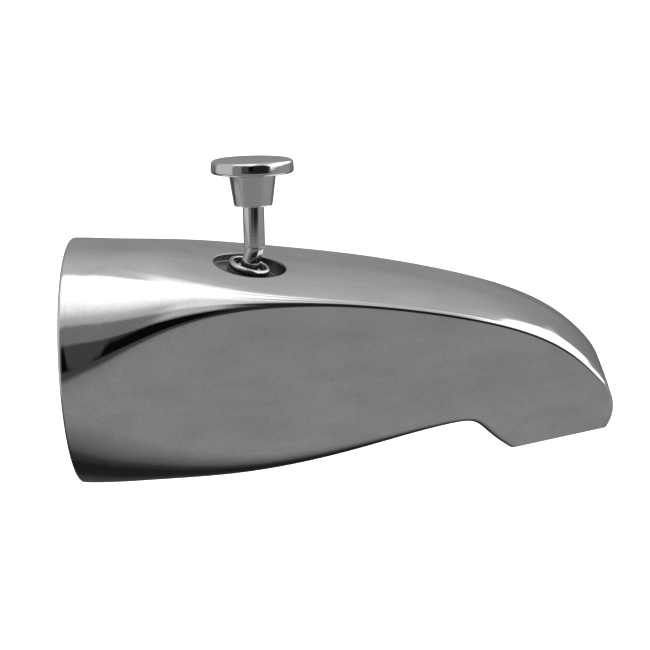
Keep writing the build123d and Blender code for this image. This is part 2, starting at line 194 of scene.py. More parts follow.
class LiftSizes(bpy.types.PropertyGroup):
    """Sizes of the knob, stem and gland. The main ones are the same as in the part's own source."""

    kink: point_prop("Kink", "Place of the stem's bend", (0.0452, 0, 0.026885))
    knob_lean: angle_prop("Knob lean", "Lean of the knob's axis away from the camera", 8.5)
    knob_tip: angle_prop("Knob tip", "Lean of the knob's axis towards the nose", 1.7)
    stem_radius: length_prop("Stem radius", "Radius of the stem's shank", 0.0022)
    stem_pin_radius: length_prop("Pin radius", "Radius of the pin inside the sleeve", 0.0016)
    stem_bend: length_prop("Bend", "Length over which the stem bends", 0.0007)
    stem_foot_rise: length_prop(
        "Foot rise", "Height of the stem's end over its solid's lowest point", 0.000132)
    stem_foot_share: factor_prop("Foot share", "Radius of the stem's end, as a share of the shank's", 0.86)
    stem_chamfer: length_prop("Chamfer", "Length of the chamfer at the stem's end", 0.0002)
    stem_land: length_prop("Land", "Length of the plain stretch over the chamfer", 0.003)
    stem_pin_reach: length_prop("Pin reach", "How far the pin goes into the knob", 0.0055)
    sleeve_radius: length_prop("Sleeve radius", "Outer radius of the sleeve", 0.0026)
    sleeve_foot: length_prop("Sleeve foot", "Height of the sleeve's lower end over the bend", 0.0003)
    sleeve_step: length_prop("Sleeve step", "Height at which the sleeve's bore narrows", 0.0015)
    sleeve_socket: length_prop("Sleeve socket", "Depth of the sleeve in the knob", 0.001)
    stem_exposed: length_prop("Exposed stem", "From the bend to the knob's neck", 0.0104)
    neck_foot_radius: length_prop("Neck foot radius", "Radius at the neck's lower end", 0.00465)
    neck_top_radius: length_prop("Neck top radius", "Radius at the neck's upper end", 0.00575)
    neck_height: length_prop("Neck height", "Height of the neck", 0.0079)
    neck_foot_round: length_prop("Neck foot round", "Rounding of the neck's lower edge", 0.00055)
    neck_fillet: length_prop("Neck fillet", "Hollow between the neck and the disc", 0.0008)
    knob_radius: length_prop("Knob radius", "Radius of the disc", 0.0101)
    knob_thickness: length_prop("Knob thickness", "Thickness of the disc's rim", 0.0032)
    knob_draft: length_prop("Knob draft", "How much narrower the disc's rim is at its top", 0.00022)
    knob_dome: length_prop("Knob dome", "Rise of the disc's top", 0.00035)
    knob_edge: length_prop("Knob edge", "Rounding of the disc's lower edge", 0.0009)
    knob_top_edge: length_prop("Knob top edge", "Rounding of the disc's upper edge", 0.001035)
    knob_margin: length_prop("Knob margin", "From the disc's rim to the start of its dome", 0.00117)
    gland_drop: length_prop("Gland drop", "From the bend down to the collar's top", 0.004)
    gland_height: length_prop("Gland height", "Height of the collar over the recess floor", 0.0034)
    gland_radius: length_prop("Gland radius", "Outer radius of the collar", 0.0052)
    gland_round: length_prop("Gland round", "Rounding of the collar's top", 0.0008)
    gland_mouth_round: length_prop("Mouth round", "Rounding of the mouth's edge", 0.0003)
    gland_mouth_radius: length_prop("Gland mouth", "Radius of the collar's mouth", 0.00405)
    gland_mouth_depth: length_prop("Mouth depth", "Depth of the collar's mouth", 0.002)
    gland_bore: length_prop("Gland bore", "Radius of the collar's bore", 0.00227)
    gland_shank_radius: length_prop("Shank radius", "Radius of the collar's shank", 0.0044)
    gland_shank_length: length_prop("Shank length", "Length of the collar's shank", 0.0024)
    clearance: length_prop("Clearance", "Room between pieces that fit in each other", 0.00005)


class BushingSizes(bpy.types.PropertyGroup):
    """Sizes of the inlet bushing and its pipe thread."""

    thread_radius: length_prop("Thread radius", "Radius at the thread's crests", 0.00913)
    thread_depth: length_prop("Thread depth", "Depth of the thread", 0.00125)
    thread_flat: factor_prop("Thread flat", "Flat at crests and roots, as a share of the depth", 0.15)
    thread_pitch: length_prop("Thread pitch", "Pitch of a fourteen-turn pipe thread", 0.0254 / 14)
    thread_length: length_prop("Thread length", "Length of the thread", 0.015)
    waterway_radius: length_prop("Waterway radius", "Radius behind the thread", 0.008)
    edge_round: length_prop("Edge round", "Rounding of the turned edges", 0.0004)


class FinishSettings(bpy.types.PropertyGroup):
    """Colours of the finishes, and the slight forms that polishing leaves."""

    chrome: colour_prop("Chrome", "Colour of the plating", (0.60, 0.60, 0.605))
    # Painted shade: a dark plating colour for the recess, standing in for the shade that falls inside it
    recess: colour_prop("Recess", "Colour of the plating inside the recess", (0.21, 0.21, 0.213))
    # Painted shade: a darker plating colour for the gland, which sits in the recess's shade
    gland: colour_prop("Gland", "Colour of the plating on the gland", (0.45, 0.45, 0.455))
    pillow: factor_prop("Pillow", "Curvature that polishing leaves across the crown", 1.25)
    rim_slope: factor_prop("Rim slope", "Slope that polishing takes off the rim", 0.09)
    rim_length: length_prop("Rim length", "Length of the trued rim", 0.0095)
    roll_slope: factor_prop("Roll slope", "Slope of the crown's rolled edges at the nose", 0.17)
    roll_start: length_prop("Roll start", "Half width where the roll starts, at no reach", 0.0192)
    roll_toe_in: factor_prop("Roll toe-in", "Narrowing of that half width per unit of reach", 0.079)
    roll_reach: length_prop("Roll reach", "Distance from the wall where the roll begins", 0.105)
    roll_blend: length_prop("Roll blend", "Width over which the roll begins", 0.002)
    roll_soft: length_prop("Roll softness", "Length over which the roll begins", 0.012)
    haze_height: length_prop("Haze height", "Height of the clouds that polishing leaves", 0.000005)
    casting: colour_prop("Casting", "Colour of the bare inside", (0.33, 0.33, 0.335))
    brass: colour_prop("Brass", "Colour of the bushing", (0.70, 0.50, 0.22))
    steel: colour_prop("Steel", "Colour of the stem", (0.56, 0.56, 0.57))
    acetal: colour_prop("Acetal", "Colour of the gate", (0.78, 0.78, 0.74))
    rubber: colour_prop("Rubber", "Colour of the seals", (0.02, 0.02, 0.02))


class StageSettings(bpy.types.PropertyGroup):
    """Camera, lights and floor."""

    camera_place: point_prop("Camera", "Place of the camera", (0.0749, -0.4214, 0.1576))
    camera_aim: point_prop("Aim", "Point that the camera looks at", (0.066, 0, 0))
    camera_roll: angle_prop("Roll", "Turn of the camera about its own axis", 2.98)
    focal_pixels: FloatProperty(
        name="Focal length", description="Focal length in pixels of the photograph", default=1818,
        subtype="PIXEL")
    axis_pixel: FloatVectorProperty(
        name="Axis pixel", description="Pixel of the photograph on the camera's axis", size=2,
        default=(345.6, 348.0))
    floor_drop: length_prop("Floor drop", "How far the floor lies below the inlet axis", 0.30)
    floor_half: length_prop("Floor half", "Half the side of the floor", 4)
    tent_radius: length_prop("Tent radius", "Radius of the tent that the chrome reflects", 1.5)
    key_power: FloatProperty(
        name="Key power", description="Power of the overhead light", default=9, unit="POWER")
    key_place: point_prop("Key place", "Place of the overhead light", (0.06, -0.2, 0.9))
    key_tilt: angle_prop("Key tilt", "Tilt of the overhead light", -12)
    key_size: length_prop("Key size", "Side of the overhead light", 0.8)
    fill_level: factor_prop("Fill level", "Strength of the even light", 0.5)


# Mesh helpers


def new_object(name, points, faces):
    """A mesh object in the scene, from an array of points and a list of arrays of faces."""
    mesh = bpy.data.meshes.new(name)
    corners = [tuple(face) for block in faces for face in block.tolist()]
    mesh.from_pydata(points.reshape(-1, 3).tolist(), [], corners)
    piece = bpy.data.objects.new(name, mesh)
    bpy.context.scene.collection.objects.link(piece)
    return piece


def link_mesh(name, points, faces, body, replaced=None):
    """A piece that rides on a body. Points on each other are joined, so that poles and seams are closed."""
    piece = new_object(name, points, faces)
    mesh, form = piece.data, bmesh.new()
    form.from_mesh(mesh)
    bmesh.ops.remove_doubles(form, verts=form.verts, dist=JOIN_DISTANCE)
    form.to_mesh(mesh)
    form.free()
    mesh.validate()
    mesh.shade_smooth()
    mesh.set_sharp_from_angle(angle=SHARP_ANGLE)
    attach(piece, body)
    if replaced:
        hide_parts(replaced)
    return piece


def bridge(ring_a, ring_b):
    """Quads between two closed rings of vertex numbers."""
    return np.stack([ring_a, ring_b, np.roll(ring_b, -1), np.roll(ring_a, -1)], 1)


def skin(rings):
    """Quads between each closed ring of vertex numbers and the next."""
    return np.concatenate([bridge(a, b) for a, b in zip(rings[:-1], rings[1:])])


def rounded(corners, radii, steps=6):
    """Outline through corners, each rounded by an arc of its own radius.

    The arc at a corner touches both sides at radius / tan(half angle); points on it are the
    quadratic Bezier through the two touching points with the corner as its handle."""
    corners = np.asarray(corners, float)
    before = np.roll(corners, 1, 0) - corners
    after = np.roll(corners, -1, 0) - corners
    before /= np.linalg.norm(before, axis=1)[:, None]
    after /= np.linalg.norm(after, axis=1)[:, None]
    half = 0.5 * np.arccos(np.clip((before * after).sum(1), -1, 1))
    reach = (np.asarray(radii) / np.tan(half))[:, None]
    start, end = corners + before * reach, corners + after * reach
    share = np.linspace(0, 1, steps)[None, :, None]
    middle = 2 * share * (1 - share) * corners[:, None]
    arcs = (1 - share) ** 2 * start[:, None] + middle + share**2 * end[:, None]
    flat = arcs.reshape(-1, 2)
    keep = np.linalg.norm(flat - np.roll(flat, 1, 0), axis=1) > JOIN_DISTANCE
    return flat[keep]


def axes_of(direction):
    """Three unit vectors: two square to the direction, then the direction."""
    along = np.array(Vector(direction).normalized())
    across = np.cross(along, (0.0, 1.0, 0.0))
    across /= np.linalg.norm(across)
    return across, np.cross(along, across), along


def turned(outline, origin, direction, segments, ripple=None):
    """A closed outline of (radius, height) turned about an axis, as points and faces.

    Point (i, j) is origin + height_i along + radius_i (cos a_j, sin a_j) across, where ripple may add to the
    radius as a function of outline point and turn."""
    across, aside, along = axes_of(direction)
    angle = np.linspace(0, 2 * np.pi, segments, endpoint=False)
    radius = np.repeat(outline[:, :1], segments, 1)
    if ripple is not None:
        radius = radius + ripple(outline, angle)
    points = (np.asarray(origin)
              + outline[:, 1, None, None] * along
              + (radius * np.cos(angle))[..., None] * across
              + (radius * np.sin(angle))[..., None] * aside)
    rows = np.arange(len(outline) * segments).reshape(len(outline), segments)
    faces = skin(np.concatenate([rows, rows[:1]]))
    area = np.sum(outline[:, 0] * np.roll(outline[:, 1], -1) - np.roll(outline[:, 0], -1) * outline[:, 1])
    return points.reshape(-1, 3), faces if area > 0 else faces[:, ::-1]


# Outer form of the spout


def spline_basis(t):
    """Weights of the rail's control points at t: clamped uniform cubic B-splines by the Cox-de Boor rule."""
    knots = np.concatenate([np.zeros(3), np.linspace(0, 1, RAIL_POINTS - 2), np.ones(3)])
    u = np.clip(t, 0, 1 - 1e-9)[:, None]
    basis = ((knots[:-1] <= u) & (u < knots[1:])).astype(float)
    for degree in (1, 2, 3):
        low, high = knots[: -degree - 1], knots[degree + 1:]
        width_low = np.maximum(knots[degree:-1] - low, 1e-12)
        width_high = np.maximum(high - knots[1:-degree], 1e-12)
        basis = (u - low) / width_low * basis[:, :-1] + (high - u) / width_high * basis[:, 1:]
    return basis


def unit(vectors):
    """Rows divided by their lengths."""
    return vectors / np.linalg.norm(vectors, axis=-1, keepdims=True)


def angle_of(vectors):
    """Angle of each row from straight up, towards the side."""
    return np.arctan2(vectors[:, 0], vectors[:, 1])


class Sections:
    """The spout's sections at an array of t, each moved inwards by inset and along its normal by shift.

    A section stands on its underside point and rises to its ridge point. Going round from the crown, its
    edges are the crown arc, the shoulder arc, the crease arc, the straight panel, the under-edge arc and the
    flat base. The shoulder gives way to the crease where its normal is at the break angle to the panel's."""

    def __init__(self, sizes, t, inset, shift=0.0):
        self.sizes = sizes
        self.t = np.atleast_1d(np.asarray(t, float))
        inset = np.broadcast_to(inset, self.t.shape)
        basis = spline_basis(self.t)
        ridge = basis @ np.stack([sizes.ridge_x, sizes.ridge_z], 1)
        under = basis @ np.stack([sizes.under_x, sizes.under_z], 1)
        height = np.linalg.norm(ridge - under, axis=1)
        self.rise = (ridge - under) / height[:, None]
        forward = np.stack([self.rise[:, 1], -self.rise[:, 0]], 1)
        self.under = under + forward * np.broadcast_to(shift, self.t.shape)[:, None]
        rim, reach = sizes.rim_radius, ridge[:, 0]
        sag = self.fade(
            sizes.rim_sag_share * rim, sizes.crown_sag, reach, sizes.crown_length, sizes.crown_power)
        corner_height = height - sag
        corner_x = under[:, 0] + self.rise[:, 0] * corner_height
        corner = np.stack([self.half_width(corner_x), corner_height], 1)
        self.crown_radius = (corner[:, 0] ** 2 + sag**2) / (2 * sag) - inset
        self.crown_centre = np.stack([np.zeros_like(height), height - inset - self.crown_radius], 1)
        foot = np.stack([self.half_width(under[:, 0]), np.zeros_like(height)], 1)
        down = unit(foot - corner)
        outward = np.stack([-down[:, 1], down[:, 0]], 1)
        start = corner - outward * inset[:, None]
        shoulder = self.fade(rim, sizes.shoulder_radius, reach, sizes.shoulder_length, sizes.shoulder_power)
        shoulder = np.minimum(shoulder, sizes.arc_share * corner[:, 0])
        self.shoulder = np.maximum(shoulder - inset, sizes.inner_edge)
        crease = self.fade(rim, sizes.crease_radius, reach, sizes.crease_length, sizes.crease_power)
        crease = np.maximum(crease - inset, sizes.inner_edge)
        self.crease = np.minimum(crease, sizes.arc_share * self.shoulder)
        break_out = outward * math.cos(sizes.crease_break) - down * math.sin(sizes.crease_break)
        self.crease_centre = start - outward * self.crease[:, None]
        self.shoulder_centre = self.crease_centre - break_out * (self.shoulder - self.crease)[:, None]
        toward = self.shoulder_centre - self.crown_centre
        along = (toward * down).sum(1)
        room = along**2 - (toward**2).sum(1) + (self.crown_radius - self.shoulder) ** 2
        slide = down * (-along - np.sqrt(np.maximum(room, 0)))[:, None]
        self.crease_centre += slide
        self.shoulder_centre += slide
        self.panel_start = start + slide
        self.crown_end = angle_of(self.shoulder_centre - self.crown_centre)
        self.break_angle, self.panel_angle = angle_of(break_out), angle_of(outward)
        edge = self.fade(rim, sizes.under_radius, under[:, 0], sizes.under_length)
        self.edge = np.maximum(edge - inset, sizes.inner_edge)
        low = start + down * ((start[:, 1] - inset) / -down[:, 1])[:, None]
        tangent = self.edge / np.tan(0.5 * np.arccos(down[:, 0]))
        self.panel_end = low - down * tangent[:, None]
        self.base_start = low - np.stack([tangent, np.zeros_like(tangent)], 1)

    def fade(self, at_rim, at_nose, x, length, power=1.0):
        """A size that falls from the rim's value to the nose's by exp(-(x / length) ** power)."""
        fall = np.exp(-((np.maximum(x, self.sizes.rim_land) / length) ** power))
        return at_nose + (at_rim - at_nose) * fall

    def half_width(self, x):
        """Half width of the panels: a toed-in line with a flare that dies away from the wall."""
        flare = self.sizes.rim_radius - self.sizes.panel_half_width
        return (self.sizes.panel_half_width - self.sizes.panel_toe_in * x
                + flare * np.exp(-np.maximum(x, 0) / self.sizes.panel_flare_length))

    def place(self, across, height):
        """Points in space from the distance across and the height over the underside point."""
        x = self.under[:, :1] + self.rise[:, :1] * height
        z = self.under[:, 1:] + self.rise[:, 1:] * height
        return np.stack([x, across, z], -1)

    def crown(self, share):
        """Points on the crown arc, at shares of its angle from -1 to 1."""
        angle = self.crown_end[:, None] * share
        radius = self.crown_radius[:, None]
        return self.place(radius * np.sin(angle), self.crown_centre[:, 1:] + radius * np.cos(angle))

    def half_ring(self, counts):
        """Points from the crown's middle round one side to the middle of the base, edge by edge."""
        def arc(centre, radius, first, last, count):
            angle = first[:, None] + (last - first)[:, None] * np.linspace(0, 1, count, endpoint=False)
            return centre[:, None] + radius[:, None, None] * np.stack([np.sin(angle), np.cos(angle)], -1)

        def line(first, last, count):
            share = np.linspace(0, 1, count, endpoint=False)[:, None]
            return first[:, None] * (1 - share) + last[:, None] * share

        zero, half_turn = np.zeros_like(self.t), np.full_like(self.t, np.pi)
        edge_centre = self.base_start + np.stack([zero, self.edge], 1)
        base_middle = self.base_start * (0, 1)
        side = np.concatenate([
            arc(self.crown_centre, self.crown_radius, zero, self.crown_end, counts["crown"]),
            arc(self.shoulder_centre, self.shoulder, self.crown_end, self.break_angle, counts["shoulder"]),
            arc(self.crease_centre, self.crease, self.break_angle, self.panel_angle, counts["crease"]),
            line(self.panel_start, self.panel_end, counts["panel"]),
            arc(edge_centre, self.edge, self.panel_angle, half_turn, counts["edge"]),
            line(self.base_start, base_middle, counts["base"]), base_middle[:, None]], 1)
        return self.place(side[..., 0], side[..., 1])

    def ring(self, counts):
        """Closed ring of points: one side down, then the other side up."""
        side = self.half_ring(counts)
        mirrored = side[:, -2:0:-1] * np.array([1, -1, 1])
        return np.concatenate([side, mirrored], 1)


def plating_rows(sizes):
    """The t, inset and shift of each row of the plated skin, from the rim's face to the lip's face.

    Rounds are quarter circles. At the nose the plating swells by a smoothstep of t."""
    plate, depth = sizes.plate, sizes.wall - sizes.plate
    sample = np.linspace(0, RIM_STRETCH, 200)
    reach = spline_basis(sample) @ np.asarray(sizes.ridge_x)
    turn = np.linspace(np.pi / 2, 0, RIM_ROUND_ROWS)
    lip_turn = np.linspace(0, np.pi / 2, LIP_ROUND_ROWS + 1)[1:]
    rim_t = np.interp(sizes.rim_round * (1 - np.sin(turn)), reach, sample)
    share = np.linspace(0, 1, OUTSIDE_ROWS)[1:]
    t = np.concatenate([np.zeros(RIM_FACE_ROWS), rim_t, rim_t[-1] + (1 - rim_t[-1]) * share**ROW_POWER,
                        np.ones(LIP_ROUND_ROWS + LIP_FACE_ROWS)])
    inset = np.concatenate([
        np.linspace(depth, sizes.rim_round, RIM_FACE_ROWS + 1)[:-1],
        (sizes.rim_round + plate) * (1 - np.cos(turn)) - plate, np.full_like(share, -plate),
        (sizes.lip_round + plate) * (1 - np.cos(lip_turn)) - plate,
        np.linspace(sizes.lip_round, depth, LIP_FACE_ROWS + 1)[1:]])
    shift = np.concatenate([
        np.full(RIM_FACE_ROWS, -plate), -plate * np.sin(turn), np.zeros_like(share),
        plate * np.sin(lip_turn), np.full(LIP_FACE_ROWS, plate)])
    part = np.clip((t - NOSE_START) / NOSE_SPAN, 0, 1)
    swell = sizes.nose_plate * part**2 * (3 - 2 * part)
    inset = inset - swell * np.clip((sizes.lip_round - inset) / (sizes.lip_round + plate), 0, 1)
    return t, inset, shift


def recess_ring(sizes, lift, t, share):
    """The t and crown share of the points on the crown where the recess's rounded lip begins.

    Newton's rule, on the two distances from the lift axis, from the given start and in its directions."""
    across, aside, _ = axes_of(LIFT["axis"])
    origin = np.asarray(lift.kink)

    def offsets(t, share):
        points = Sections(sizes, t, -sizes.plate).crown(share[:, None])[:, 0] - origin
        return np.stack([points @ across, points @ aside], 1)

    target = unit(offsets(t, share)) * (sizes.recess_radius + sizes.recess_lip)
    step = 1e-5
    for _ in range(12):
        miss = offsets(t, share) - target
        by_t = (offsets(t + step, share) - offsets(t - step, share)) / (2 * step)
        by_share = (offsets(t, share + step) - offsets(t, share - step)) / (2 * step)
        pivot = by_t[:, 0] * by_share[:, 1] - by_share[:, 0] * by_t[:, 1]
        t = t - (miss[:, 0] * by_share[:, 1] - by_share[:, 0] * miss[:, 1]) / pivot
        share = share - (by_t[:, 0] * miss[:, 1] - miss[:, 0] * by_t[:, 1]) / pivot
    return t, share


class SPOUT_OT_plating(bpy.types.Operator):
    """Make the mirror-polished plating over the whole outside of the casting"""

    bl_idname = "spout.plating"
    bl_label = "Plating"

    def execute(self, context):
        scene = context.scene
        sizes, lift, finish = scene.spout_sizes, scene.spout_lift, scene.spout_finish
        t, inset, shift = plating_rows(sizes)
        grid = Sections(sizes, t, inset, shift).ring(RING_COUNTS)
        rows, around = grid.shape[:2]
        number = np.arange(rows * around).reshape(rows, around)
        beside = np.roll(number, -1, 1)
        quads = np.stack([number[:-1], beside[:-1], beside[1:], number[1:]], -1)
        keep, border, share = self.window(sizes, lift, grid, number)
        rings = self.crown_rings(sizes, lift, t[border // around], share)
        outside = len(rings) + 1
        rings += self.recess_wall(sizes, lift, rings[-1])
        points = np.concatenate([grid.reshape(-1, 3), *rings])
        inner = number.size + np.arange(len(rings) * len(border)).reshape(len(rings), -1)
        patch = skin(np.concatenate([border[None], inner]))[:, ::-1]
        piece = link_mesh("spout_plating", points, [quads[keep], patch], "spout")
        shell = piece.modifiers.new("plate_thickness", "SOLIDIFY")
        shell.thickness = SKIN_SHARE * sizes.plate
        shell.offset = -1
        piece.data.materials.append(chrome_plate(finish))
        # Painted shade: the recess plating's base colour is far darker than the chrome's, standing in for
        # the recess's shade; its higher roughness is dull plating
        piece.data.materials.append(dull_shaded_chrome("chrome_recess_painted_shade", finish.recess, rough=0.26))
        in_recess = np.zeros(len(piece.data.polygons), int)
        in_recess[keep.sum() + outside * len(border):] = 1
        piece.data.polygons.foreach_set("material_index", in_recess)
        return {"FINISHED"}

    @staticmethod
    def window(sizes, lift, grid, number):
        """Window in the crown round the recess: quads that stay, and its border's points and shares."""
        rows, around = number.shape
        half = WINDOW_HALF * sizes.recess_radius
        crown_x, crown_y = grid[:, 0, 0], grid[rows // 3, :RING_COUNTS["crown"], 1]
        first = int(np.searchsorted(crown_x, lift.kink[0] - WINDOW_BEHIND * half))
        last = int(np.searchsorted(crown_x, lift.kink[0] + WINDOW_AHEAD * half))
        side = int(np.searchsorted(crown_y, half))
        columns = np.r_[around - side: around, 0: side + 1]
        keep = np.ones((rows - 1, around), bool)
        keep[np.ix_(np.arange(first, last), columns[:-1])] = False
        border = np.concatenate([number[first, columns[:-1]], number[first:last, columns[-1]],
                                 number[last, columns[:0:-1]], number[last:first:-1, columns[0]]])
        across = np.r_[-side: side + 1] / RING_COUNTS["crown"]
        share = np.concatenate([across[:-1], np.full(last - first, across[-1]),
                                across[:0:-1], np.full(last - first, across[0])])
        return keep, border, share

    @staticmethod
    def crown_rings(sizes, lift, t, share):
        """Rings on the crown from the window's border to the recess's lip, closer together near the lip."""
        edge_t, edge_share = recess_ring(sizes, lift, t, share)
        rings = []
        for step in 1 - (1 - np.linspace(0, 1, WINDOW_RINGS + 1)[1:]) ** RING_POWER:
            sections = Sections(sizes, t + (edge_t - t) * step, -sizes.plate)
            rings.append(sections.crown((share + (edge_share - share) * step)[:, None])[:, 0])
        return rings

    @staticmethod
    def recess_wall(sizes, lift, edge):
        """Rings from the recess's edge over its rounded lip, down its wall and in along its floor."""
        across, aside, along = axes_of(LIFT["axis"])
        origin = np.asarray(lift.kink)
        local = edge - origin
        bearing = unit(np.stack([local @ across, local @ aside], 1))
        top = local @ along
        floor = -lift.gland_drop - lift.gland_height + sizes.plate
        wall_radius = sizes.recess_radius - sizes.plate
        lip = sizes.recess_lip + sizes.plate
        turn = np.linspace(0, np.pi / 2, 6)[1:]
        rings = [(wall_radius + lip * (1 - math.sin(a)), top - lip * (1 - math.cos(a))) for a in turn]
        foot = np.full_like(top, floor)
        wall_top, wall_foot = top - lip, foot + lip
        rings += [(wall_radius, wall_top + (wall_foot - wall_top) * share) for share in (0.33, 0.67, 1.0)]
        rings += [(wall_radius - lip * (1 - math.cos(a)), foot + lip * (1 - math.sin(a))) for a in turn]
        floor_radii = np.linspace(wall_radius - lip, lift.gland_shank_radius, 5)[1:]
        rings += [(radius, foot) for radius in floor_radii]
        flat = [bearing[:, :1] * radius * across + bearing[:, 1:] * radius * aside for radius, _ in rings]
        return [origin + ring + height[:, None] * along for ring, (_, height) in zip(flat, rings)]


class SPOUT_OT_lift(bpy.types.Operator):
    """Make the knob, its sleeve, the bent stem and the gland collar"""

    bl_idname = "spout.lift"
    bl_label = "Lift knob and stem"

    def execute(self, context):
        lift, finish = context.scene.spout_lift, context.scene.spout_finish
        kink = np.asarray(lift.kink)
        upper = unit(np.array([math.tan(lift.knob_tip), math.tan(lift.knob_lean), 1.0]))
        chrome = turned_chrome(finish, kink, upper)
        finishes = [(self.knob(lift, kink, upper), chrome), (self.sleeve(lift, kink, upper), chrome),
                    (self.stem(lift, kink, upper), drawn_steel(finish))]
        for piece, material in finishes:
            piece.data.materials.append(material)
            piece.visible_glossy = False
        # Painted shade: the gland's plating is darker than the chrome, standing in for the recess's shade;
        # its roughness is duller plating
        dull = dull_shaded_chrome("chrome_gland_painted_shade", finish.gland, rough=0.13)
        self.collar(lift, kink).data.materials.append(dull)
        return {"FINISHED"}

    @staticmethod
    def knob(lift, kink, upper):
        """Disc on a tapered neck: a rounded outline turned about the upper axis, its dome a parabola."""
        foot, disc = lift.stem_exposed, lift.stem_exposed + lift.neck_height
        top, socket = disc + lift.knob_thickness, foot + lift.sleeve_socket
        bore = lift.sleeve_radius + lift.clearance
        radius = np.linspace(lift.knob_radius - lift.knob_margin, 0, 14)
        dome = np.stack([radius, top + lift.knob_dome * (1 - (radius / lift.knob_radius) ** 2)], 1)
        corners = [(0, socket), (bore, socket), (bore, foot), (lift.neck_foot_radius, foot),
                   (lift.neck_top_radius, disc), (lift.knob_radius, disc),
                   (lift.knob_radius - lift.knob_draft, top)]
        radii = [0, FINE_EDGE, BROKEN_EDGE, lift.neck_foot_round, lift.neck_fillet, lift.knob_edge,
                 lift.knob_top_edge]
        outline = rounded(np.concatenate([corners, dome]), radii + [0] * len(dome), steps=9)
        points, faces = turned(outline, kink, upper, SEGMENTS["knob"])
        return link_mesh("knob_disc", points, [faces], "diverter", "lift_knob")

    @staticmethod
    def sleeve(lift, kink, upper):
        """Tube with rounded ends and a wider foot over the bend, turned about the upper axis."""
        bore, skirt = lift.stem_pin_radius + lift.clearance, lift.gland_bore
        foot, step, outer = lift.sleeve_foot, lift.sleeve_step, lift.sleeve_radius
        top = lift.stem_exposed + lift.sleeve_socket - lift.clearance
        corners = [(skirt, foot), (outer, foot), (outer, top), (bore, top), (bore, step), (skirt, step)]
        radii = [FINE_EDGE, BROKEN_EDGE, BROKEN_EDGE, SMALL_EDGE, SMALL_EDGE, SMALL_EDGE]
        points, faces = turned(rounded(corners, radii), kink, upper, SEGMENTS["sleeve"])
        return link_mesh("knob_sleeve", points, [faces], "diverter", "stem_sleeve")

    @staticmethod
    def stem(lift, kink, upper):
        """Round rod carried along a bent path: straight below the kink, then along the knob's axis.

        The path's direction turns from the lift axis to the upper axis over the bend's length. Above the
        kink the radius falls along a circle, as the round end of the shank, until it meets the pin's."""
        count, bend, shank = SEGMENTS["stem"], lift.stem_bend, lift.stem_radius
        below = (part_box("lift_stem")[0].z - kink[2]) / LIFT["axis"][2] + lift.stem_foot_rise
        run = np.concatenate([
            [below, below + lift.stem_chamfer], np.linspace(below + lift.stem_land, -bend, 24)[1:],
            np.linspace(-bend, bend, 13)[1:], np.linspace(bend, shank, 8)[1:],
            [lift.stem_exposed + lift.stem_pin_reach]])
        turn = np.clip((run + bend) / (2 * bend), 0, 1)
        turn = (turn**2 * (3 - 2 * turn))[:, None]
        heading = unit((1 - turn) * np.asarray(LIFT["axis"]) + turn * upper)
        step = np.diff(run)[:, None] * 0.5 * (heading[1:] + heading[:-1])
        path = np.concatenate([[np.zeros(3)], np.cumsum(step, 0)])
        path += kink - path[np.argmin(np.abs(run))]
        radius = np.sqrt(np.maximum(shank**2 - np.maximum(run, 0) ** 2, lift.stem_pin_radius**2))
        radius[0] *= lift.stem_foot_share
        angle = np.linspace(0, 2 * np.pi, count, endpoint=False)[None, :, None]
        across = unit(np.cross(heading, (0.0, 1.0, 0.0)))[:, None]
        aside = np.cross(heading[:, None], across)
        rings = path[:, None] + radius[:, None, None] * (np.cos(angle) * across + np.sin(angle) * aside)
        points = np.concatenate([rings.reshape(-1, 3), path[:1], path[-1:]])
        rows = np.arange(rings.shape[0] * count).reshape(-1, count)
        foot = np.stack([np.roll(rows[0], -1), rows[0], np.full(count, len(points) - 2)], 1)
        tip = np.stack([rows[-1], np.roll(rows[-1], -1), np.full(count, len(points) - 1)], 1)
        return link_mesh("stem_rod", points, [skin(rows), foot, tip], "diverter", "lift_stem")

    @staticmethod
    def collar(lift, kink):
        """Collar with a wide counterbored mouth, turned about the lift axis."""
        top, floor = -lift.gland_drop, -lift.gland_drop - lift.gland_height
        foot, mouth = floor - lift.gland_shank_length, top - lift.gland_mouth_depth
        bore, shank = lift.gland_bore, lift.gland_shank_radius
        outer, inner = lift.gland_radius, lift.gland_mouth_radius
        corners = [(bore, foot), (shank, foot), (shank, floor), (outer, floor), (outer, top), (inner, top),
                   (inner, mouth), (bore, mouth)]
        radii = [SMALL_EDGE, BROKEN_EDGE, SMALL_EDGE, SMALL_EDGE, lift.gland_round, lift.gland_mouth_round,
                 BROKEN_EDGE, SMALL_EDGE]
        points, faces = turned(rounded(corners, radii, steps=8), kink, LIFT["axis"], SEGMENTS["collar"])
        return link_mesh("gland_ring", points, [faces], "spout", "gland_collar")


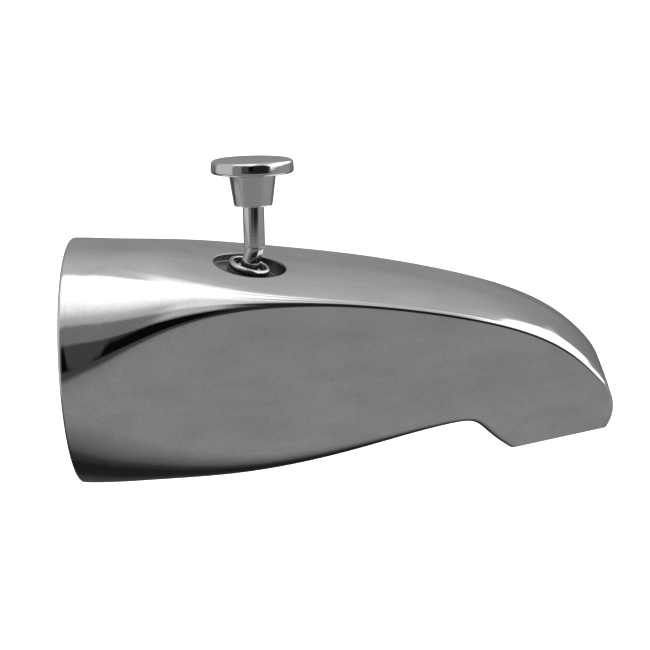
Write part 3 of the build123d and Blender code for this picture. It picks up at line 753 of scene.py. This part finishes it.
class SPOUT_OT_bushing(bpy.types.Operator):
    """Make the brass inlet bushing with its pipe thread"""

    bl_idname = "spout.bushing"
    bl_label = "Inlet bushing"

    def execute(self, context):
        sizes = context.scene.spout_bushing
        far_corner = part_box("inlet_bushing")[1]
        outer, length, edge = far_corner.z, far_corner.x, sizes.edge_round
        end, minor = sizes.thread_length, sizes.thread_radius
        pitch, depth, flat = sizes.thread_pitch, sizes.thread_depth, sizes.thread_flat
        bore = np.linspace(end - 2 * edge, edge, int(THREAD_ROWS * end / pitch))
        corners = [(minor, 0), (outer, 0), (outer, length), (sizes.waterway_radius, length),
                   (sizes.waterway_radius, end), (minor, end)]
        wall = rounded(corners, [edge, edge, edge, edge, SMALL_EDGE, SMALL_EDGE])
        low_edge = np.argmax((wall[:, 0] < minor + NEAR) & (wall[:, 1] > end / 2))
        wall = np.roll(wall, -low_edge - 1, 0)
        outline = np.concatenate([wall, np.stack([np.full_like(bore, minor), bore], 1)])

        def thread(outline, angle):
            """Depth of the thread: a flattened triangle wave of height and turn, run out at the ends."""
            height = outline[:, 1:]
            wave = np.abs(2 * ((height / pitch - angle / (2 * np.pi)) % 1.0) - 1)
            run_out = np.clip(np.minimum(height - edge, end - 2 * edge - height) / pitch, 0, 1)
            on_bore = np.abs(outline[:, :1] - minor) < NEAR
            return depth * run_out * on_bore * np.clip((1 + 2 * flat) * wave - flat, 0, 1)

        points, faces = turned(outline, (0, 0, 0), (1, 0, 0), SEGMENTS["bushing"], thread)
        piece = link_mesh("threaded_bushing", points, [faces], "spout", "inlet_bushing")
        piece.data.materials.append(turned_brass(context.scene.spout_finish))
        return {"FINISHED"}


# Shader nodes


def new_group(name, inputs, outputs):
    """An empty shader node group and its end nodes, from the names and kinds of its inputs and outputs."""
    group = bpy.data.node_groups.new(name, "ShaderNodeTree")
    for sockets, in_out in ((inputs, "INPUT"), (outputs, "OUTPUT")):
        for label, kind in sockets.items():
            group.interface.new_socket(label, in_out=in_out, socket_type=kind)
    return group, group.nodes.new("NodeGroupInput"), group.nodes.new("NodeGroupOutput")


def give(tree, socket, value):
    """Links an input to a socket, or sets it to a value."""
    if isinstance(value, bpy.types.NodeSocket):
        tree.links.new(value, socket)
    else:
        socket.default_value = value


def fill(tree, node, **inputs):
    """Gives a node's inputs their sockets or values. A space in an input's name is written as _."""
    for label, value in inputs.items():
        give(tree, node.inputs[label.replace("_", " ")], value)


def add_node(tree, kind, **inputs):
    """A shader node of a kind, with its inputs given."""
    node = tree.nodes.new("ShaderNode" + kind)
    fill(tree, node, **inputs)
    return node


def add_noise(tree, vector, scale, detail, rough=0.5):
    """A noise texture on a vector socket."""
    noise = add_node(tree, "TexNoise", Vector=vector, Scale=scale, Detail=detail, Roughness=rough)
    return noise.outputs["Fac"]


def add_math(tree, operation, *values):
    """A math node on sockets or numbers."""
    node = add_node(tree, "Math")
    node.operation = operation
    for socket, value in zip(node.inputs, values):
        give(tree, socket, value)
    return node.outputs[0]


def product(tree, first, *others):
    """The product of sockets and numbers."""
    for other in others:
        first = add_math(tree, "MULTIPLY", first, other)
    return first


def add_mix(tree, first, second, share):
    """A share of the way from a first value to a second."""
    return add_math(tree, "MULTIPLY_ADD", share, add_math(tree, "SUBTRACT", second, first), first)


def add_step(tree, value, bound, soft):
    """0 where a value is below a bound and 1 above, with a soft edge."""
    node = add_node(tree, "MapRange", Value=value, From_Min=bound - soft, From_Max=bound + soft)
    node.interpolation_type = "SMOOTHSTEP"
    return node.outputs["Result"]


def add_window(tree, value, low, high, soft):
    """1 where a value is between two bounds and 0 outside, with soft edges."""
    return add_math(tree, "SUBTRACT", add_step(tree, value, low, soft), add_step(tree, value, high, soft))


def add_ramp(tree, share, levels):
    """A grey ramp over a whole turn, from pairs of degrees and level, as shares of the tent's strength."""
    ramp = add_node(tree, "ValToRGB", Fac=share)
    stops = ramp.color_ramp.elements
    stops.remove(stops[1])
    for degrees, level in levels:
        position = (degrees + 90) / 360
        stop = stops.new(position) if position > 0 else stops[0]
        stop.color = (level / TENT_STRENGTH,) * 3 + (1,)
    return ramp.outputs["Color"]


def object_coordinates(tree):
    """The Object output of a texture coordinate node."""
    return add_node(tree, "TexCoord").outputs["Object"]


def add_split(tree, vector):
    """The X, Y and Z of a vector socket."""
    return add_node(tree, "SeparateXYZ", Vector=vector).outputs


def haze_group(name):
    """Faint haze of polished metal: a mask of soft clouds and fine specks, and a roughness after it."""
    group, given, out = new_group(
        name, {"Rough Low": "NodeSocketFloat", "Rough High": "NodeSocketFloat"},
        {"Mask": "NodeSocketFloat", "Roughness": "NodeSocketFloat"})
    place = object_coordinates(group)
    stretched = add_node(group, "Mapping", Vector=place, Scale=(0.4, 1, 1)).outputs["Vector"]
    clouds = add_noise(group, stretched, scale=150, detail=5, rough=0.62)
    specks = add_noise(group, place, scale=1900, detail=2)
    mask = add_mix(group, specks, clouds, 0.6)
    low, high = given.outputs["Rough Low"], given.outputs["Rough High"]
    fill(group, out, Mask=mask, Roughness=add_mix(group, low, high, mask))
    return group


def turning_group(name):
    """Tool marks of a lathe: height waves along Z, broken up by noise."""
    group, given, out = new_group(
        name, {"Spacing": "NodeSocketFloat", "Vector": "NodeSocketVector"}, {"Height": "NodeSocketFloat"})
    place = given.outputs["Vector"]
    wobble = product(group, add_noise(group, place, scale=160, detail=3), 0.0003)
    run = add_math(group, "ADD", add_split(group, place)["Z"], wobble)
    turns = add_math(group, "DIVIDE", run, given.outputs["Spacing"])
    fill(group, out, Height=add_math(group, "SINE", product(group, turns, 2 * math.pi)))
    return group


def place_group(tree, name, make, **inputs):
    """A group node of the shared node group of that name, which is made on its first use."""
    node = add_node(tree, "Group")
    node.node_tree = bpy.data.node_groups.get(name) or make(name)
    fill(tree, node, **inputs)
    return node


def tint(tree, colour, mask, tones):
    """A colour that a mask varies between two tones."""
    ramp = add_node(tree, "Mix")
    ramp.data_type = "RGBA"
    dark, light = (tuple(min(1, tone * channel) for channel in colour) + (1,) for tone in tones)
    fill(tree, ramp, Factor=mask, A=dark, B=light)
    return ramp.outputs["Result"]


def add_bump(tree, height, distance, strength=1.0):
    """The normal of a bump from a height socket."""
    return add_node(tree, "Bump", Height=height, Distance=distance, Strength=strength).outputs["Normal"]


def add_marks(tree, origin, direction, spacing, depth):
    """The normal of a lathe's tool marks round an axis."""
    turn = Vector((0, 0, 1)).rotation_difference(Vector(direction)).to_euler()
    mapping = add_node(tree, "Mapping", Vector=object_coordinates(tree), Location=origin, Rotation=turn)
    mapping.vector_type = "TEXTURE"
    place = mapping.outputs["Vector"]
    marks = place_group(tree, "turning_marks", turning_group, Spacing=spacing, Vector=place)
    return add_bump(tree, marks.outputs["Height"], depth)


# Finishes


def new_material(name):
    """A material, its node tree and its Principled shader."""
    material = bpy.data.materials.new(name)
    material.use_nodes = True
    return material, material.node_tree, material.node_tree.nodes["Principled BSDF"]


def hazy_metal(name, colour, rough, tones):
    """A metal whose roughness and tone follow the polish haze between two bounds each, and its mask."""
    material, tree, shader = new_material(name)
    haze = place_group(tree, "polish_haze", haze_group, Rough_Low=rough[0], Rough_High=rough[1])
    mask, roughness = haze.outputs["Mask"], haze.outputs["Roughness"]
    fill(tree, shader, Metallic=1, Base_Color=tint(tree, colour, mask, tones), Roughness=roughness)
    return material, tree, shader, mask


def chrome_plate(finish):
    """Mirror chrome with the faint streaked clouds of hand polishing in its roughness, and the same clouds
    in its colour as a painted reflection of a mottled floor.

    Polishing also leaves a slight pillow across the crown, trues the first part of the rim to a cylinder and
    rolls the crown's edges at the nose."""
    # Painted reflection: the haze mask tints the chrome's colour between 0.62 and 1.38 times, standing in
    # for a mottled floor reflected in it; the roughness haze is polish
    material, tree, shader, mask = hazy_metal(
        "chrome_plate", finish.chrome, rough=(0.02, 0.075), tones=(0.62, 1.38))
    along, across, _ = add_split(tree, object_coordinates(tree))
    begun = add_step(tree, along, PILLOW_START * finish.rim_length, PILLOW_SOFT * finish.rim_length)
    pillow = product(tree, across, across, -finish.pillow)
    rim = add_math(tree, "SMOOTH_MIN", along, finish.rim_length, RIM_BLEND * finish.rim_length)
    height = add_math(tree, "MULTIPLY_ADD", pillow, begun, product(tree, rim, finish.rim_slope))
    edge = add_math(tree, "MULTIPLY_ADD", along, finish.roll_toe_in, add_math(tree, "ABSOLUTE", across))
    edge = add_math(tree, "SUBTRACT", edge, finish.roll_start)
    edge = add_math(tree, "SMOOTH_MAX", edge, 0, finish.roll_blend)
    rolled = add_step(tree, along, finish.roll_reach, finish.roll_soft)
    height = add_math(tree, "ADD", height, product(tree, edge, rolled, -finish.roll_slope))
    height = add_math(tree, "MULTIPLY_ADD", mask, finish.haze_height, height)
    fill(tree, shader, Normal=add_bump(tree, height, distance=1))
    return material


def dull_shaded_chrome(name, colour, rough):
    """Rough plating that the polishing wheel doesn't reach, in the recess and on the gland; its darker
    colour, as given, is painted shade.
    """
    return hazy_metal(name, colour, rough=(0.5 * rough, 1.5 * rough), tones=(0.7, 1.3))[0]


def turned_chrome(finish, origin, direction):
    """Chrome over turned metal: haze and fine tool marks round an axis."""
    material, tree, shader, _ = hazy_metal(
        "chrome_turned", finish.chrome, rough=(0.04, 0.11), tones=(0.9, 1.08))
    marks = add_marks(tree, origin, direction, spacing=0.00035, depth=0.0000012)
    fill(tree, shader, Normal=marks)
    return material


def drawn_steel(finish):
    """Bright drawn rod with fine haze."""
    return hazy_metal("drawn_steel", finish.steel, rough=(0.06, 0.2), tones=(0.86, 1.1))[0]


def turned_brass(finish):
    """Bare turned brass with tool marks round the inlet axis and a light tarnish."""
    material, tree, shader, _ = hazy_metal(
        "turned_brass", finish.brass, rough=(0.14, 0.42), tones=(0.72, 1.15))
    marks = add_marks(tree, (0, 0, 0), (1, 0, 0), spacing=0.0003, depth=0.000004)
    fill(tree, shader, Normal=marks)
    return material


def bare_casting(finish):
    """Inside of the casting: dull grey metal with a sandy grain."""
    material, tree, shader = new_material("bare_casting")
    place = object_coordinates(tree)
    blotch = add_noise(tree, place, scale=90, detail=4)
    grain = add_noise(tree, place, scale=900, detail=4, rough=0.6)
    fill(tree, shader, Metallic=1, Roughness=0.55,
         Base_Color=tint(tree, finish.casting, blotch, tones=(0.7, 1.25)),
         Normal=add_bump(tree, grain, distance=0.00008, strength=0.6))
    return material


def moulded(name, colour, rough, grain_scale):
    """A moulded plastic or rubber with a fine grain and a slight change of tone."""
    material, tree, shader = new_material(name)
    place = object_coordinates(tree)
    cloud = add_noise(tree, place, scale=140, detail=3)
    grain = add_noise(tree, place, grain_scale, detail=3)
    fill(tree, shader, Roughness=rough, Base_Color=tint(tree, colour, cloud, tones=(0.85, 1.12)),
         Normal=add_bump(tree, grain, distance=0.00003, strength=0.5))
    return material


class SPOUT_OT_inner_finish(bpy.types.Operator):
    """Give the casting's inside and the hidden working pieces their finishes"""

    bl_idname = "spout.inner_finish"
    bl_label = "Inner finishes"

    def execute(self, context):
        finish = context.scene.spout_finish
        rubber = moulded("seal_rubber", finish.rubber, rough=0.62, grain_scale=1400)
        acetal = moulded("gate_acetal", finish.acetal, rough=0.42, grain_scale=1100)
        by_node = {"spout_body": bare_casting(finish), "bushing_ring": rubber, "stem_ring": rubber,
                   "gate": acetal, "gate_seal": rubber, "stem_clip": drawn_steel(finish)}
        for node, material in by_node.items():
            mesh = frame["nodes"][node].data
            mesh.materials.clear()
            mesh.materials.append(material)
        return {"FINISHED"}


# Stage


def tent_light(radius):
    """Glow of the tent by direction.

    A ramp over the angle round the X axis runs from straight down over the camera's side, the zenith and the
    back. A second ramp takes over behind the nose end. Cards at other levels stand in front of both, between
    bounds of turn and rise."""
    material, tree, shader = new_material("tent_light")
    material.cycles.emission_sampling = "NONE"
    x, y, z = add_split(tree, object_coordinates(tree))
    angle = add_math(tree, "ARCTAN2", y, product(tree, z, -1))
    share = add_math(tree, "FRACT", add_math(tree, "DIVIDE", angle, -2 * math.pi))
    tilt = product(tree, x, BACK_TILT / 360 / radius)
    ahead = add_ramp(tree, share, TENT_LEVELS)
    behind = add_ramp(tree, add_math(tree, "SUBTRACT", share, tilt), BACK_LEVELS)
    leaning = add_math(tree, "MULTIPLY_ADD", z, BACK_LEAN, x)
    by_x = add_step(tree, leaning, BACK_START * radius, BACK_SOFT * radius)
    by_y = add_step(tree, y, BACK_DEPTH * radius, BACK_DEPTH * radius)
    level = product(tree, add_mix(tree, ahead, behind, product(tree, by_x, by_y)), TENT_STRENGTH)
    turn = add_math(tree, "DEGREES", add_math(tree, "ARCTAN2", x, product(tree, y, -1)))
    rise = add_math(tree, "DEGREES", add_math(tree, "ARCSINE", add_math(tree, "DIVIDE", z, radius)))
    for card_level, turns, rises, soft in TENT_CARDS:
        mask = product(tree, add_window(tree, turn, *turns, soft), add_window(tree, rise, *rises, soft))
        level = add_mix(tree, level, card_level, mask)
    glow = add_node(tree, "Emission", Strength=level)
    fill(tree, tree.nodes["Material Output"], Surface=glow.outputs[0])
    tree.nodes.remove(shader)
    return material


def floor_white():
    """Pale finish, lit by the lamps and bright of itself to the camera, so that it reads as white."""
    material, tree, shader = new_material("floor_white")
    seen = add_node(tree, "LightPath").outputs["Is Camera Ray"]
    fill(tree, shader, Base_Color=(0.85, 0.85, 0.85, 1), Roughness=0.9, Emission_Color=(1, 1, 1, 1),
         Emission_Strength=seen)
    return material


class SPOUT_OT_stage(bpy.types.Operator):
    """Set up the floor, the light and the camera of the photograph's view"""

    bl_idname = "spout.stage"
    bl_label = "Stage"

    def execute(self, context):
        stage = context.scene.spout_stage
        context.scene.view_settings.view_transform = "Standard"
        self.floor(stage)
        self.tent(stage)
        self.world(context, stage)
        self.key(context, stage)
        self.camera(context, stage)
        return {"FINISHED"}

    @staticmethod
    def floor(stage):
        """One flat square below the spout."""
        half, height = stage.floor_half, -stage.floor_drop
        corners = [(x * half, y * half, height) for x, y in ((-1, -1), (1, -1), (1, 1), (-1, 1))]
        floor = new_object("floor", np.array(corners), [np.arange(4)[None]])
        floor.visible_glossy = False
        floor.data.materials.append(floor_white())

    @staticmethod
    def tent(stage):
        """Light tent that only the metal sees: its radius times (cos a, sin a cos b, sin a sin b)."""
        a = np.linspace(0, np.pi, TENT_RINGS + 1)[:, None]
        b = np.linspace(0, 2 * np.pi, 2 * TENT_RINGS, endpoint=False)[None]
        grid = np.stack([np.cos(a) + 0 * b, np.sin(a) * np.cos(b), np.sin(a) * np.sin(b)], -1)
        number = np.arange(a.size * b.size).reshape(a.size, b.size)
        tent = new_object("light_tent", stage.tent_radius * grid, [skin(number)])
        tent.data.validate()
        tent.visible_camera = tent.visible_diffuse = tent.visible_shadow = False
        tent.data.materials.append(tent_light(stage.tent_radius))

    @staticmethod
    def world(context, stage):
        """White to the camera and to the metal, and a soft even light to everything else."""
        world = bpy.data.worlds.new("studio")
        context.scene.world = world
        world.use_nodes = True
        tree = world.node_tree
        path = add_node(tree, "LightPath").outputs
        seen = add_math(tree, "MAXIMUM", path["Is Camera Ray"], path["Is Glossy Ray"])
        seen = add_math(tree, "MAXIMUM", seen, path["Is Transmission Ray"])
        strength = add_math(tree, "MULTIPLY_ADD", seen, 1 - stage.fill_level, stage.fill_level)
        fill(tree, tree.nodes["Background"], Color=(1, 1, 1, 1), Strength=strength)

    @staticmethod
    def key(context, stage):
        """Large soft light over the spout."""
        lamp = bpy.data.lights.new("overhead", "AREA")
        lamp.size = stage.key_size
        lamp.energy = stage.key_power
        key = bpy.data.objects.new("overhead", lamp)
        key.location = stage.key_place
        key.rotation_euler = (stage.key_tilt, 0, 0)
        key.visible_glossy = False
        context.scene.collection.objects.link(key)

    @staticmethod
    def camera(context, stage):
        """Camera of the photograph: aimed, rolled about its axis, and shifted by its axis pixel."""
        data = bpy.data.cameras.new("photo_view")
        data.sensor_width = 36
        data.lens = data.sensor_width * stage.focal_pixels / PHOTO_SIDE
        data.shift_x = (PHOTO_SIDE / 2 - stage.axis_pixel[0]) / PHOTO_SIDE
        data.shift_y = (stage.axis_pixel[1] - PHOTO_SIDE / 2) / PHOTO_SIDE
        data.clip_start = 0.01
        camera = bpy.data.objects.new("photo_view", data)
        place, aim = Vector(stage.camera_place), Vector(stage.camera_aim)
        facing = (aim - place).to_track_quat("-Z", "Y").to_matrix().to_4x4()
        roll = Matrix.Rotation(-stage.camera_roll, 4, "Z")
        camera.matrix_world = Matrix.Translation(place) @ facing @ roll
        context.scene.collection.objects.link(camera)
        context.scene.camera = camera


class SPOUT_PT_panel(bpy.types.Panel):
    """Sidebar list of the spout's pieces"""

    bl_label = "Bath Spout"
    bl_idname = "SPOUT_PT_panel"
    bl_space_type = "VIEW_3D"
    bl_region_type = "UI"
    bl_category = "Bath Spout"

    def draw(self, context):
        for step in STEPS:
            self.layout.operator(step.bl_idname)


STEPS = (SPOUT_OT_plating, SPOUT_OT_lift, SPOUT_OT_bushing, SPOUT_OT_inner_finish, SPOUT_OT_stage)
GROUPS = {"spout_sizes": SpoutSizes, "spout_lift": LiftSizes, "spout_bushing": BushingSizes,
          "spout_finish": FinishSettings, "spout_stage": StageSettings}


def register():
    """Registers the property groups, operators and panel."""
    for name, group in GROUPS.items():
        bpy.utils.register_class(group)
        setattr(bpy.types.Scene, name, PointerProperty(type=group))
    for cls in STEPS + (SPOUT_PT_panel,):
        bpy.utils.register_class(cls)


def unregister():
    """Undoes register, in the other order."""
    for cls in (SPOUT_PT_panel,) + STEPS[::-1]:
        bpy.utils.unregister_class(cls)
    for name, group in reversed(GROUPS.items()):
        delattr(bpy.types.Scene, name)
        bpy.utils.unregister_class(group)


def main():
    """Makes every piece in order."""
    register()
    bpy.ops.spout.plating()
    bpy.ops.spout.lift()
    bpy.ops.spout.bushing()
    bpy.ops.spout.inner_finish()
    bpy.ops.spout.stage()


if __name__ == "__main__":
    main()
